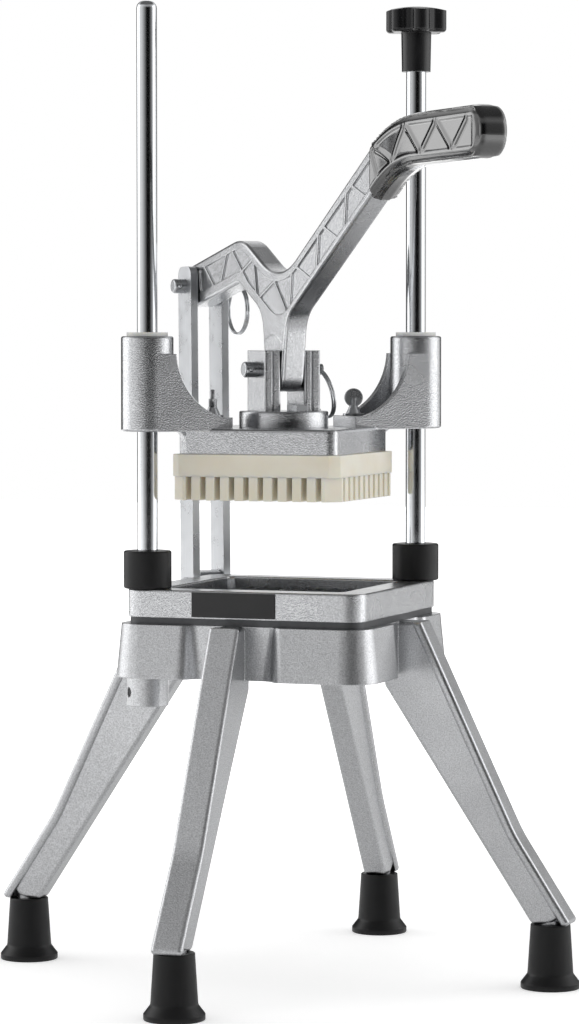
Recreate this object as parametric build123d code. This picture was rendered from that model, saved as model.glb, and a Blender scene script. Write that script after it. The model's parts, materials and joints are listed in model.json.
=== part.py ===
from build123d import *
from math import hypot, radians, sin, sqrt, tan
import os

# Lever-press vegetable cutter, in millimetres. The table is z = 0 and +Z is up.
# X and Y follow the sides of the square cutting frame, with its bare plate facing -Y.
# The guide rods stand on one diagonal of the square, and the lever swings over the other.
# Pieces of the head, lever and link are drawn with X along the rods' diagonal, then turned.

rod_turn = 45.0               # from the frame's X axis to the rods' diagonal
running_gap = 0.05            # all round a pin or rod that turns or slides
seat_gap = 0.1                # all round a fixed piece in its hole
side_gap = 0.8                # between plates that pass each other

# Guide rods, their stops and the knob
rod_spread = 93.3             # each rod from the middle
rod_diameter = 12.7
rod_seat = 13.8               # how far the rods reach below the skirt
left_rod_length = 431.8
right_rod_length = 421.0
rod_end_round = 4.5
bumper_diameter = 29.8
bumper_height = 23.5
bumper_edge = 1.2
knob_rise = 13.8              # top of the knob, above the rod's end
knob_height = 16.5
knob_core = 31.0
knob_lobe = 11.0
knob_lobes = 6
knob_lobe_spread = 14.4
knob_valley = 3.0
knob_dome = 75.0
knob_edge = 2.4
neck_length = 24.8
neck_top_diameter = 19.3
neck_low_diameter = 18.3

# Base casting, its legs and feet
base_bottom = 192.8           # underside of the skirt
base_height = 33.2
pad_half = 82.2               # corner pads at the top, from the middle
pad_draft = 3.3               # how much further out they stand at the bottom
wall_half = 77.0              # recessed wall between the pads
recess_width = 60.0           # at the face of the pads
recess_slope = 55.0           # of the recess's ends, from the wall
drop_half = 62.0              # inside of the skirt
drop_round = 20.0
socket_diameter = 26.0
socket_drop = 18.3            # below the skirt
set_screw_diameter = 6.0
set_screw_rise = 4.0          # above the rod's lower end
set_screw_depth = 0.8         # how far its end sits inside the socket
leg_shift = 5.3               # set over from mid-side, towards the rod corners
leg_width = 20.0              # across its outer flange
leg_flange = 6.0
leg_web = 15.6                # across the web behind the flange
leg_edge = 2.5
leg_corner = 5.0
leg_top_reach = 92.5
leg_bend_reach = 154.0
leg_bend_height = 96.0
leg_end_outer = 190.5
leg_end_inner = 164.0
leg_root_reach = 67.5
leg_root_drop = 6.8           # below the skirt
foot_reach = 174.3
foot_height = 40.0
foot_top_diameter = 24.7
foot_flange_diameter = 37.0
foot_flange_height = 3.5
foot_flare_height = 9.0
foot_flare_diameter = 28.6
spigot_diameter = 15.0
spigot_length = 16.0

# Blade plate, blades and upper frame
plate_height = 4.3
plate_inset = 1.2
plate_opening = 57.0          # half of the opening below the blades
frame_height = 17.2
frame_corner = 11.9           # outer corner radius, round the rod's axis
frame_opening = 59.5
frame_opening_round = 4.0
frame_edge = 1.2
blade_count = 10
blade_pitch = 9.525
blade_thick = 0.8
blade_depth = 5.6
blade_bevel = 1.6
blade_seat = 2.2              # length of each blade end on the plate's ledge
screw_diameter = 6.0
screw_head_diameter = 10.0
screw_head_height = 6.0
screw_reach = 10.0            # into the upper frame
badge_width = 54.5
badge_height = 15.4
badge_thick = 0.8
badge_shift = -4.5

# Head casting, bushes and push block
block_half = 55.5
block_corner = 6.0
head_gap = 54.6               # from the upper frame to the push block, with the head up
block_height = 28.5
slot_width = 3.6
slot_depth = 14.7
pan_half = 52.5
pan_height = 15.9
pan_corner = 6.0
pan_flat = 7.0
pan_edge = 2.0
pan_wall = 6.0
boss_diameter = 32.6
boss_drop = 1.5               # from the pan's top down to the bosses' lower ends
boss_height = 59.0
boss_edge = 1.5
web_thick = 4.5
web_height = 48.0             # heights here are from the bosses' lower ends
web_start = 80.4              # inner end of a web's top, from the middle
web_middle = 71.3
web_middle_rise = 23.5
web_foot = 42.5
web_foot_rise = 7.0
floor_thick = 8.4
cove = 6.0                    # under each wing, where it meets the pan
bush_diameter = 18.0
bush_length = 24.0
bush_flange_diameter = 25.5
bush_flange_height = 2.4
bush_recess = 0.6             # lower bush, up from the boss's end

# Thumb screws that hold the push block
thumb_spread = 49.0
thumb_diameter = 5.0
thumb_paddle_diameter = 11.8
thumb_paddle_thick = 2.4
thumb_rise = 17.4             # top of the paddle, above the floor of the wing
thumb_collar_diameter = 9.6
thumb_collar_height = 5.0
thumb_reach = 10.0            # into the push block
thumb_left_turn = 65.0
thumb_right_turn = -20.0
washer_diameter = 13.6
washer_thick = 1.4

# Clevis and its ring pin
disc_diameter = 56.2
disc_height = 10.4
disc_edge = 1.2
ear_thick = 11.0
ear_width = 27.6
ear_rise = 12.0               # above the pivot
ear_edge = 1.5
ear_groove = 1.6
ear_groove_place = 5.2        # from the ear's inner face
bolt_flats = 13.0
bolt_head_height = 4.3
bolt_diameter = 6.0
bolt_spread = 21.0
bolt_length = 20.0
pivot_rise = 26.1             # above the clevis's round foot
clevis_pin_diameter = 10.0
clevis_pin_start = -28.0
clevis_pin_shoulder = 20.2
clevis_pin_end = 26.4
tail_diameter = 7.0
pin_nose = 1.6
ball_diameter = 3.0
ball_place = 3.4              # from the pin's nose
ball_sink = 0.9               # how much of the ball stands out of the pin

# Pull rings
ring_diameter = 33.0
ring_wire = 1.6               # a split ring has two turns, side by side
ring_turn_gap = -0.1          # the turns press on each other
ring_hole_gap = 0.4
ring_inset = 3.5              # from the end of its pin
clevis_ring_lean = 14.0       # the clevis's ring leans on the edge of the round foot

# Lever and grip, in the swing plane: across is towards the link, and each rise is from the pivot
lever_thick = 15.0
arm_depth = 27.5
long_arm_low = 10.8           # lower edge of the long arm, from its middle line
link_across = 126.2
link_rise = 53.7
knee_across = 51.3
knee_rise = 69.5
valley_across = -8.3
valley_rise = 37.9
bend_across = -168.0
bend_rise = 135.4
tip_across = -279.0
tip_rise = 136.8
knee_round = 36.0
valley_round = 50.0
bend_round = 100.0
notch_round = 4.0
leg_front = -15.4             # sides of the pivot leg, at the pivot
leg_back = 12.4
leg_flare = 5.4               # how much further out each side stands at the valley
leg_end_below = 14.0          # below the pivot
leg_front_round = 22.0
leg_back_round = 20.0
lever_edge = 2.0
panel_depth = 1.1             # recess on both faces of the lever
panel_top_rim = 5.6
panel_low_rim = 7.2
panel_corner = 2.0
panel_valley_round = 26.0
panel_link_margin = 11.5      # from the link joint
rib_width = 1.7
rib_lean = 5.8                # half of how far a rib leans along the arm
long_rib_first = 19.6         # from the valley
long_rib_spacing = 22.8
long_rib_count = 6
middle_rib_first = 24.3       # from the valley, towards the knee
middle_rib_spacing = 16.8
middle_rib_count = 3
short_rib_first = 4.6         # from the knee
short_rib_spacing = 22.6
short_rib_count = 3
valley_rib_rise = 9.7         # middle of the rib in the valley
valley_rib_turn = 43.0
boss_step = 43.4              # pivot boss on the lever's leg
boss_rise = 0.3
grip_wall = 1.8               # over the lever's top
grip_side_wall = 2.8
grip_start = -142.0
grip_edge = 5.0

# Link between the lever and the frame's lug
bar_width = 20.6
bar_thick = 5.0
bar_gap = 1.0                 # between the lever and each bar
bar_end = 12.9                # past the link joint
bar_corner = 6.0
link_pin_diameter = 9.5
link_pin_start = -22.0
link_pin_shoulder = 14.6
link_pin_end = 28.6
lug_across = 122.5
lug_rise = 7.7                # above the blade plate
lug_thick = 14.8
lug_wall = 4.6
lug_pin_diameter = 8.0
lug_slack_across = 4.6        # play of the lug pin in its oblong hole, each way
lug_slack_up = 2.5
lug_pin_overhang = 3.2
clip_diameter = 13.5
clip_thick = 1.2

# Places worked out from the sizes above
rod_offset = rod_spread / sqrt(2)
base_top = base_bottom + base_height
rod_bottom = base_bottom - rod_seat
left_rod_top = rod_bottom + left_rod_length
right_rod_top = rod_bottom + right_rod_length
socket_bottom = base_bottom - socket_drop
set_screw_height = rod_bottom + set_screw_rise
knob_top = right_rod_top + knob_rise
knob_bottom = knob_top - knob_height
neck_bottom = knob_bottom - neck_length
plate_top = base_top + plate_height
frame_top = plate_top + frame_height
frame_half = rod_offset + frame_corner
block_bottom = frame_top + head_gap
block_top = block_bottom + block_height
pan_top = block_top + pan_height
disc_top = pan_top + disc_height
boss_bottom = pan_top - boss_drop
boss_top = boss_bottom + boss_height
floor_top = boss_bottom + floor_thick
thumb_paddle_top = floor_top + thumb_rise
pivot_height = disc_top + pivot_rise
ear_top = pivot_height + ear_rise
ear_gap = lever_thick + 2 * side_gap
ear_outer = ear_gap / 2 + ear_thick
bar_inner = lever_thick / 2 + bar_gap
bar_outer = bar_inner + bar_thick
ring_reach = (ring_diameter - ring_wire) / 2
link_joint = (link_across, pivot_height + link_rise)
knee = (knee_across, pivot_height + knee_rise)
valley = (valley_across, pivot_height + valley_rise)
bend = (bend_across, pivot_height + bend_rise)
tip = (tip_across, pivot_height + tip_rise)
lug_joint = (lug_across, plate_top + lug_rise)
low = (Align.CENTER, Align.CENTER, Align.MIN)


def turned(shape):
    """Turn a piece drawn along the rods' diagonal to the frame's axes."""
    return Rot(0, 0, rod_turn) * shape


def upright(diameter, bottom, top, x=0.0, y=0.0):
    """Upright round bar between two heights."""
    return Pos(x, y, bottom) * Cylinder(diameter / 2, top - bottom, align=low)


def crosswise(diameter, start, end, across, up):
    """Round bar along the rods' diagonal, between two places on it."""
    return Pos(start, across, up) * Rot(0, 90, 0) * Cylinder(diameter / 2, end - start, align=low)


def rounded(*corners):
    """Face from corners written as (across, up, corner radius)."""
    points = [corner[:2] for corner in corners]
    radii = [corner[2] for corner in corners]
    return make_face(FilletPolyline(*points, radius=radii, close=True))


def swing_plate(face, thick, middle=0.0):
    """Plate from a face drawn in the lever's swing plane."""
    return Pos(middle, 0, 0) * extrude(Plane.YZ * face, thick / 2, both=True)


def shifted(start, end, distance):
    """The line from start to end, moved sideways to its left."""
    run = hypot(end[0] - start[0], end[1] - start[1])
    left = (-(end[1] - start[1]) / run * distance, (end[0] - start[0]) / run * distance)
    return [(point[0] + left[0], point[1] + left[1]) for point in (start, end)]


def crossing(first, second):
    """Point where two lines cross, each given by two points."""
    (ax, ay), (bx, by) = first
    (cx, cy), (dx, dy) = second
    span = (bx - ax) * (dy - cy) - (by - ay) * (dx - cx)
    part = ((cx - ax) * (dy - cy) - (cy - ay) * (dx - cx)) / span
    return (ax + part * (bx - ax), ay + part * (by - ay))


def lever_lines(distance):
    """The lever's four runs from link to tip, moved up by a distance (down if negative)."""
    stations = (link_joint, knee, valley, bend, tip)
    return [shifted(a, b, -distance) for a, b in zip(stations, stations[1:])]


def beyond(point, other, distance):
    """Point past the first one, on the line from the other."""
    run = hypot(point[0] - other[0], point[1] - other[1])
    return tuple(p + (p - q) * distance / run for p, q in zip(point, other))


def on_sides(make):
    """One piece for each side of the square, set over towards the rod corners."""
    sides = (("front", 0, -1), ("right", 90, 1), ("back", 180, -1), ("left", 270, 1))
    return {name: Rot(0, 0, turn) * make(sense * leg_shift) for name, turn, sense in sides}


def screw_places():
    """The two corners of the square that have no rod."""
    return ((rod_offset, -rod_offset), (-rod_offset, rod_offset))


def rod_places():
    """The two corners of the square that have a rod: left, then right."""
    return ((-rod_offset, -rod_offset), (rod_offset, rod_offset))


def thumb_places():
    """The two thumb screws, on the rods' diagonal."""
    return [(side * thumb_spread / sqrt(2),) * 2 for side in (-1, 1)]


def drilled(shape, diameter, bottom, top, places):
    """A shape with an upright hole at each place."""
    for x, y in places:
        shape -= upright(diameter, bottom, top, x, y)
    return shape


def skirt_plan(half):
    """Plan of the skirt at one height: corner pads with a recess in each side."""
    plan = RectangleRounded(2 * half, 2 * half, half - rod_offset)
    depth = half - wall_half
    slope = radians(recess_slope)
    mouth = Trapezoid(recess_width + 2 * depth / tan(slope), 2 * depth, recess_slope)
    for recess in on_sides(lambda shift: Pos(shift, -half) * mouth).values():
        plan -= recess
    corners = [v for v in plan.vertices() if min(abs(v.X), abs(v.Y)) < rod_offset - running_gap]
    end_run = depth / sin(slope)
    return fillet(corners, 0.47 * end_run / tan(slope / 2))


def leg_flange_face():
    """Strip along the outside of the front leg, bent outwards near the foot."""
    upper = ((-leg_top_reach, base_top), (-leg_bend_reach, leg_bend_height))
    lower = (upper[1], (-leg_end_outer, foot_height))
    inner_upper = shifted(*upper, leg_flange)
    inner_lower = shifted(*lower, leg_flange)
    top_line = ((0, base_top), (-leg_top_reach, base_top))
    foot_line = ((0, foot_height), (-leg_end_outer, foot_height))
    bend_radius = leg_bend_height
    return rounded(
        (*upper[0], 0),
        (*upper[1], bend_radius),
        (*lower[1], leg_edge),
        (*crossing(inner_lower, foot_line), 0),
        (*crossing(inner_upper, inner_lower), bend_radius),
        (*crossing(inner_upper, top_line), 0),
    )


def leg(shift):
    """Front leg: a web that slants out, flanged on the outside, with a spigot for its foot."""
    root = (-leg_root_reach, base_bottom - leg_root_drop)
    end = (-leg_end_inner, foot_height)
    to_bend = Vector(leg_end_outer - leg_bend_reach, leg_bend_height - foot_height)
    room = leg_end_outer - leg_end_inner - leg_corner
    end_round = min(2 * leg_corner, room * tan(radians(to_bend.get_angle(Vector(1, 0))) / 2))
    web_face = rounded(
        (-leg_top_reach, base_top, 0),
        (-leg_root_reach, base_top, 0),
        (*root, leg_corner),
        (*end, leg_corner),
        (-leg_end_outer, foot_height, end_round),
        (-leg_bend_reach, leg_bend_height, leg_bend_height),
    )
    bend_arc = web_face.edges().filter_by(GeomType.CIRCLE).sort_by(SortBy.RADIUS)[-1]
    neck = Line(root, end).distance_to(bend_arc)
    flange = swing_plate(leg_flange_face(), leg_width)
    flange = fillet(flange.edges().filter_by(Axis.X, reverse=True), leg_edge)
    bar = swing_plate(web_face, leg_web)
    bar = fillet(bar.edges().filter_by(Axis.X, reverse=True), min(leg_edge, 0.4 * neck)) + flange
    inside_wall = (wall_half + drop_half) / 2
    tie_size = (leg_web - 2 * leg_edge, leg_top_reach - leg_flange - inside_wall, base_height - leg_edge)
    tie = Pos(0, -inside_wall, base_bottom) * Box(*tie_size, align=(Align.CENTER, Align.MAX, Align.MIN))
    spigot = upright(spigot_diameter, foot_height - spigot_length, foot_height + leg_edge, 0, -foot_reach)
    return Pos(shift, 0, 0) * (bar + tie + spigot)


def base_casting():
    """Skirt, legs and rod sockets, which are one casting."""
    skirt = loft(
        [
            Pos(0, 0, base_bottom) * skirt_plan(pad_half + pad_draft),
            Pos(0, 0, base_top) * skirt_plan(pad_half),
        ],
        ruled=True,
    )
    inside = RectangleRounded(2 * drop_half, 2 * drop_half, drop_round)
    body = skirt - Pos(0, 0, base_bottom) * extrude(inside, base_top - base_bottom)
    for x, y in rod_places():
        body += upright(socket_diameter, socket_bottom, base_top, x, y)
    for one in on_sides(leg).values():
        body += one
    body = drilled(body, rod_diameter + 2 * seat_gap, rod_bottom, base_top, rod_places())
    body = drilled(body, screw_diameter + 2 * seat_gap, base_bottom, base_top, screw_places())
    seat = base_bottom + screw_head_height
    body = drilled(body, screw_head_diameter + 2 * seat_gap, base_bottom, seat, screw_places())
    outer = rod_spread + socket_diameter
    for side in (-1, 1):
        ends = sorted((side * rod_spread, side * outer))
        body -= turned(crosswise(set_screw_diameter + 2 * seat_gap, *ends, 0, set_screw_height))
    return body


def rod_set_screws():
    """Grub screws that hold the rods in their sockets."""
    inner = rod_spread + rod_diameter / 2 + seat_gap
    outer = rod_spread + socket_diameter / 2 - set_screw_depth
    screws = []
    for side in (-1, 1):
        ends = sorted((side * inner, side * outer))
        screws.append(turned(crosswise(set_screw_diameter, *ends, 0, set_screw_height)))
    return Compound(screws)


def foot(shift):
    """Rubber foot on the front leg, with a socket for the leg's spigot."""
    top = foot_top_diameter / 2
    flange = foot_flange_diameter / 2
    side = rounded(
        (0, 0, 0),
        (flange, 0, 0.6),
        (flange, foot_flange_height, 0.8),
        (foot_flare_diameter / 2, foot_flare_height, 3.0),
        (top, foot_height, 0.8),
        (0, foot_height, 0),
    )
    body = revolve(Plane.XZ * side, Axis.Z)
    depth = foot_height - spigot_length - seat_gap
    body -= upright(spigot_diameter + 2 * seat_gap, depth, foot_height)
    return Pos(shift, -foot_reach, 0) * body


def guide_rod(x, y, top):
    """Polished rod with a rounded upper end."""
    rod = upright(rod_diameter, rod_bottom, top, x, y)
    return fillet(rod.edges().group_by(Axis.Z)[-1], rod_end_round)


def bumper(x, y):
    """Rubber collar that stops the head."""
    ring = upright(bumper_diameter, frame_top, frame_top + bumper_height, x, y)
    ring = fillet(ring.edges().filter_by(GeomType.CIRCLE), bumper_edge)
    return ring - upright(rod_diameter + 2 * seat_gap, frame_top, frame_top + bumper_height, x, y)


def knob():
    """Star knob with a long neck, over the end of the right rod."""
    x, y = rod_places()[1]
    plan = Circle(knob_core / 2)
    for lobe in range(knob_lobes):
        plan += Rot(0, 0, 360 * lobe / knob_lobes) * Pos(knob_lobe_spread) * Circle(knob_lobe / 2)
    plan = fillet(plan.vertices(), knob_valley)
    head = Pos(0, 0, knob_bottom) * extrude(plan, knob_height + knob_edge)
    head = head & Pos(0, 0, knob_top - knob_dome) * Sphere(knob_dome)
    head = fillet(head.edges().group_by(Axis.Z)[0], knob_edge)
    neck = Pos(0, 0, neck_bottom) * Cone(
        neck_low_diameter / 2, neck_top_diameter / 2, neck_length + knob_edge, align=low
    )
    body = head + neck
    body -= upright(rod_diameter + 2 * running_gap, neck_bottom, right_rod_top + seat_gap)
    return Pos(x, y, 0) * body


def square_ring(half, corner, opening, bottom, height):
    """Flat square ring with rounded corners."""
    plan = RectangleRounded(2 * half, 2 * half, corner)
    plan -= RectangleRounded(2 * opening, 2 * opening, frame_opening_round)
    return Pos(0, 0, bottom) * extrude(plan, height)


def blade_plate():
    """Dark plate between the castings, whose inner ledge carries the blades."""
    half = frame_half - plate_inset
    ring = square_ring(half, frame_corner - plate_inset, plate_opening, base_top, plate_height)
    ring = drilled(ring, rod_diameter + 2 * seat_gap, base_top, plate_top, rod_places())
    return drilled(ring, screw_diameter + 2 * seat_gap, base_top, plate_top, screw_places())


def upper_frame():
    """Square frame round the blades, with the lug for the link at its back corner."""
    ring = square_ring(frame_half, frame_corner, frame_opening, plate_top, frame_height)
    ring = fillet(ring.edges().group_by(Axis.Z)[-1], frame_edge)
    across, up = lug_joint
    half_across = lug_pin_diameter / 2 + lug_slack_across
    half_up = lug_pin_diameter / 2 + lug_slack_up
    eye = Pos(across, up) * RectangleRounded(
        2 * (half_across + lug_wall), 2 * (half_up + lug_wall), half_up + 0.9 * lug_wall
    )
    neck_across = across - rod_spread + frame_corner
    neck = Pos(across - neck_across / 2, plate_top + frame_height / 2) * Rectangle(
        neck_across, frame_height - 2 * frame_edge
    )
    hole = Pos(across, up) * RectangleRounded(2 * half_across, 2 * half_up, lug_pin_diameter / 2 + seat_gap)
    ring += turned(swing_plate(eye + neck - hole, lug_thick))
    ring = drilled(ring, rod_diameter + 2 * seat_gap, plate_top, frame_top, rod_places())
    screw_top = plate_top + screw_reach
    return drilled(ring, screw_diameter + 2 * seat_gap, plate_top, screw_top, screw_places())


def frame_screws():
    """Cap screws from below, which pull the upper frame and plate onto the base."""
    screws = []
    seat = base_bottom + screw_head_height
    for x, y in screw_places():
        head = upright(screw_head_diameter, base_bottom, seat, x, y)
        screws.append(head + upright(screw_diameter, seat, plate_top + screw_reach, x, y))
    return Compound(screws)


def blade_rows():
    """Places of the blades, and of the block's slots, from the middle."""
    return [(row - (blade_count - 1) / 2) * blade_pitch for row in range(blade_count)]


def blades(bottom, turn):
    """One set of parallel blades with their cutting edges up."""
    half = blade_thick / 2
    section = make_face(
        Polyline(
            (-half, 0),
            (half, 0),
            (half, blade_depth - blade_bevel),
            (0, blade_depth),
            (-half, blade_depth - blade_bevel),
            close=True,
        )
    )
    strip = extrude(Plane.YZ * section, plate_opening + blade_seat, both=True)
    return Compound([Rot(0, 0, turn) * Pos(0, row, bottom) * strip for row in blade_rows()])


def badge():
    """Bare plate on the front of the upper frame."""
    middle = plate_top + frame_height / 2
    plate = Box(badge_width, badge_thick, badge_height)
    return Pos(badge_shift, -frame_half - badge_thick / 2, middle) * plate


def push_block():
    """Plastic block whose square fingers pass between the blades."""
    plan = chamfer(Rectangle(2 * block_half, 2 * block_half).vertices(), block_corner)
    body = Pos(0, 0, block_bottom) * extrude(plan, block_height)
    slot = Box(2 * block_half, slot_width, slot_depth, align=low)
    for row in blade_rows():
        for turn in (0, 90):
            body -= Rot(0, 0, turn) * Pos(0, row, block_bottom) * slot
    bottom = block_top - thumb_reach - seat_gap
    return drilled(body, thumb_diameter + 2 * seat_gap, bottom, block_top, thumb_places())


def pan():
    """Square pan over the push block, hollow from below."""
    plan = Rectangle(2 * pan_half, 2 * pan_half)
    rod_corners = [v for v in plan.vertices() if v.X * v.Y > 0]
    plan = chamfer(rod_corners, pan_flat)
    free_corners = [v for v in plan.vertices() if v.X * v.Y < -0.9 * pan_half ** 2]
    plan = fillet(free_corners, pan_corner)
    body = Pos(0, 0, block_top) * extrude(plan, pan_height)
    body = fillet(body.edges().group_by(Axis.Z)[-1], pan_edge)
    inner = 2 * (pan_half - pan_wall)
    hollow = extrude(RectangleRounded(inner, inner, pan_corner + pan_flat), pan_height - pan_wall)
    return body - Pos(0, 0, block_top) * hollow


def web(across):
    """One of the curved webs between a boss and the pan."""
    top = (web_start, web_height)
    foot = (web_foot, web_foot_rise)
    sides = Polyline(foot, (web_foot, 0), (rod_spread, 0), (rod_spread, web_height), top)
    curve = ThreePointArc(top, (web_middle, web_middle_rise), foot)
    face = make_face([*sides.edges(), curve])
    return Pos(0, across, boss_bottom) * extrude(Plane.XZ * face, web_thick / 2, both=True)


def wing_cove():
    """Hollow fillet under a wing, against the flat corner of the pan."""
    flat = (2 * pan_half - pan_flat) / sqrt(2)
    wide = pan_flat * sqrt(2) - 2 * pan_edge
    corner = Pos(flat, 0, boss_bottom) * Box(2 * cove, wide, 2 * cove)
    return corner - Pos(flat + cove, 0, boss_bottom - cove) * Rot(90, 0, 0) * Cylinder(cove, 2 * wide)


def wing():
    """Right-hand guide boss with its two webs and the floor between them."""
    boss = upright(boss_diameter, boss_bottom, boss_top, rod_spread)
    boss = fillet(boss.edges().filter_by(GeomType.CIRCLE), boss_edge)
    web_place = (boss_diameter - web_thick) / 2
    floor = Pos((web_foot + rod_spread) / 2, 0, boss_bottom) * Box(
        rod_spread - web_foot, boss_diameter, floor_thick, align=low
    )
    body = boss + web(web_place) + web(-web_place) + floor + wing_cove()
    return body - upright(bush_diameter + 2 * seat_gap, boss_bottom, boss_top, rod_spread)


def head_casting():
    """Pan and two guide wings, which are one casting."""
    right = wing()
    body = pan() + turned(right) + turned(Rot(0, 0, 180) * right)
    body = drilled(body, thumb_diameter + 2 * seat_gap, block_top, floor_top, thumb_places())
    bolt_places = [(-side * bolt_spread / sqrt(2), side * bolt_spread / sqrt(2)) for side in (-1, 1)]
    return drilled(body, bolt_diameter + 2 * seat_gap, block_top, pan_top, bolt_places)


def bush_upper(side):
    """Flanged nylon bush at the top of a boss."""
    bottom = boss_top - bush_length
    top = boss_top + bush_flange_height
    sleeve = upright(bush_diameter, bottom, boss_top, side * rod_spread)
    flange = upright(bush_flange_diameter, boss_top, top, side * rod_spread)
    bore = upright(rod_diameter + 2 * running_gap, bottom, top, side * rod_spread)
    return turned(sleeve + flange - bore)


def bush_lower(side):
    """Plain nylon bush at the bottom of a boss."""
    bottom = boss_bottom + bush_recess
    sleeve = upright(bush_diameter, bottom, bottom + bush_length, side * rod_spread)
    bore = upright(rod_diameter + 2 * running_gap, bottom, bottom + bush_length, side * rod_spread)
    return turned(sleeve - bore)


def hexagon(flats, bottom, height, x, y):
    """Upright hexagon bar, for a nut or a bolt head."""
    return Pos(x, y, bottom) * extrude(RegularPolygon(flats / 2, 6, major_radius=False), height)


def thumb_screw(side, turn):
    """Spade screw that clamps the push block to the pan."""
    middle = thumb_paddle_top - thumb_paddle_diameter / 2
    stem = upright(thumb_diameter, block_top - thumb_reach, middle)
    collar = Pos(0, 0, floor_top + washer_thick + running_gap) * Cone(
        thumb_collar_diameter / 2, thumb_diameter / 2, thumb_collar_height, align=low
    )
    paddle = Pos(0, 0, middle) * Rot(90, 0, 0) * Cylinder(thumb_paddle_diameter / 2, thumb_paddle_thick)
    paddle = fillet(paddle.edges().filter_by(GeomType.CIRCLE), 0.35 * thumb_paddle_thick)
    return turned(Pos(side * thumb_spread) * Rot(0, 0, turn) * (stem + collar + paddle))


def screw_washers():
    """Washers under the two thumb screws."""
    washers = []
    for side in (-1, 1):
        heights = (floor_top, floor_top + washer_thick)
        ring = upright(washer_diameter, *heights, side * thumb_spread)
        ring -= upright(thumb_diameter + 2 * seat_gap, *heights, side * thumb_spread)
        washers.append(turned(ring))
    return Compound(washers)


def clevis():
    """Round foot with two ears that carry the lever's pivot pin."""
    disc = upright(disc_diameter, pan_top, disc_top)
    disc = fillet(disc.edges().group_by(Axis.Z)[-1], disc_edge)
    ear = Pos(ear_gap / 2 + ear_thick / 2, 0, disc_top - disc_edge) * Box(
        ear_thick, ear_width, ear_top - disc_top + disc_edge, align=low
    )
    ear = fillet(ear.edges().filter_by(Axis.Z), ear_edge)
    for side in (-1, 1):
        groove = Box(ear_groove, 2 * ear_groove, 2 * ear_top)
        ear -= Pos(ear_gap / 2 + ear_groove_place, side * ear_width / 2, 0) * groove
    body = disc + ear + mirror(ear, Plane.YZ)
    body -= crosswise(clevis_pin_diameter + 2 * seat_gap, -ear_outer, ear_outer, 0, pivot_height)
    for side in (-1, 1):
        body -= upright(bolt_diameter + 2 * seat_gap, pan_top, disc_top, 0, side * bolt_spread)
    return turned(body)


def clevis_bolts():
    """Hexagon bolts that hold the clevis on the pan."""
    bolts = []
    for side in (-1, 1):
        head = hexagon(bolt_flats, disc_top, bolt_head_height, 0, side * bolt_spread)
        shank = upright(bolt_diameter, disc_top - bolt_length, disc_top, 0, side * bolt_spread)
        bolts.append(turned(head + shank))
    return Compound(bolts)


def ring_pin(diameter, start, shoulder, end, across, up):
    """Pin with a rounded nose, a detent ball's pocket, and a thin tail drilled for its ring."""
    body = crosswise(diameter, start, shoulder, across, up)
    body = fillet(body.edges().group_by(Axis.X)[0], pin_nose)
    body += crosswise(tail_diameter, shoulder, end, across, up)
    hole = Cylinder(ring_wire + ring_hole_gap, 2 * tail_diameter)
    body -= Pos(end - ring_inset, across, up) * Rot(90, 0, 0) * hole
    return body - pin_ball(diameter, start, across, up, seat_gap)


def pin_ball(diameter, start, across, up, room=0.0):
    """Detent ball that stands out of the pin's near side."""
    depth = diameter / 2 + ball_sink - ball_diameter / 2
    return Pos(start + ball_place, across - depth, up) * Sphere(ball_diameter / 2 + room)


def pull_ring(end, across, up, lean=0.0):
    """Split ring that hangs through the hole in a pin's tail, leaning out from the pin."""
    turn = Pos(0, 0, (ring_wire + ring_turn_gap) / 2) * Torus(ring_reach, ring_wire / 2)
    ring = Rot(0, 90, 0) * (turn + mirror(turn, Plane.XY))
    return turned(Pos(end - ring_inset, across, up) * Rot(0, -lean, 0) * Pos(0, 0, -ring_reach) * ring)


def leg_sides(inset=0.0):
    """Front and back lines of the lever's pivot leg, which flares upwards."""
    front = shifted((leg_front, pivot_height), (leg_front - leg_flare, valley[1]), -inset)
    back = shifted((leg_back, pivot_height), (leg_back + leg_flare, valley[1]), inset)
    return front, back


def leg_corners(inset=0.0):
    """Lower corners of the pivot leg with their radius, front then back."""
    low_end = pivot_height - leg_end_below + inset
    level = ((leg_front, low_end), (leg_back, low_end))
    front, back = [crossing(side, level) for side in leg_sides(inset)]
    radius = 0.46 * (back[0] - front[0])
    return (*front, radius), (*back, radius)


def lever_outline():
    """Lever outline: a bent arm with a pivot leg under its valley."""
    half = arm_depth / 2
    top = lever_lines(half)
    under = lever_lines(-half)
    long_under = lever_lines(-long_arm_low)
    past_link = beyond(link_joint, knee, half)
    link_end = shifted(past_link, knee, -half)[0], shifted(past_link, knee, half)[0]
    front, back = leg_sides()
    link_round = 0.97 * half
    tip_round = 0.48 * (half + long_arm_low)
    return rounded(
        (*link_end[0], link_round),
        (*crossing(top[0], top[1]), knee_round),
        (*crossing(top[1], top[2]), valley_round),
        (*crossing(top[2], top[3]), bend_round + half),
        (*top[3][1], tip_round),
        (*long_under[3][1], tip_round),
        (*crossing(long_under[2], long_under[3]), bend_round - long_arm_low),
        (*crossing(long_under[2], front), leg_front_round),
        *leg_corners(),
        (*crossing(under[1], back), leg_back_round),
        (*crossing(under[0], under[1]), notch_round),
        (*link_end[1], link_round),
    )


def lever_core():
    """Lever before its panels and bores."""
    body = swing_plate(lever_outline(), lever_thick)
    return fillet(body.edges().filter_by(Axis.X, reverse=True), lever_edge)


def pivot_boss():
    """Raised face round the pivot, on both sides of the leg."""
    front, back = leg_sides(lever_edge)
    level = ((leg_front, valley[1]), (leg_back, valley[1]))
    leg_face = rounded(
        *leg_corners(lever_edge),
        (*crossing(back, level), 0),
        (*crossing(front, level), 0),
    )
    step = Pos(0, pivot_height) * Circle(boss_step / 2)
    return swing_plate(leg_face & step, lever_thick + 2 * boss_rise)


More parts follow.
